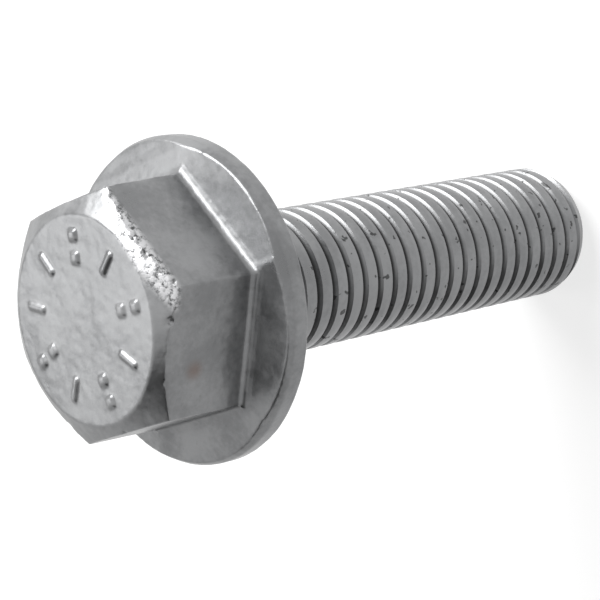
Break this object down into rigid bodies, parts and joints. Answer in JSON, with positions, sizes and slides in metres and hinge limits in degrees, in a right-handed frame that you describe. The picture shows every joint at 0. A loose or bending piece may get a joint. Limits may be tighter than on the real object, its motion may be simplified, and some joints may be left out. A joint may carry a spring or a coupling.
{
  "type": "flange bolt",
  "caption": "Hexagon flange bolt with a threaded shank, a short plain neck, a sloping flange facet under each hexagon side and plain raised marks on top.",
  "frame": {"origin": "on the bolt's axis, in the plane of the bearing face", "axes": "+Z along the axis and out of the head, with the shank along -Z; +X square to one side of the hexagon"},
  "size_m": [0.026, 0.026, 0.0551],
  "materials": {
    "zinc": "worn galvanised steel, matt grey and mottled"
  },
  "bodies": {
    "root": {"flange_bolt": "zinc"}
  },
  "joints": []
}
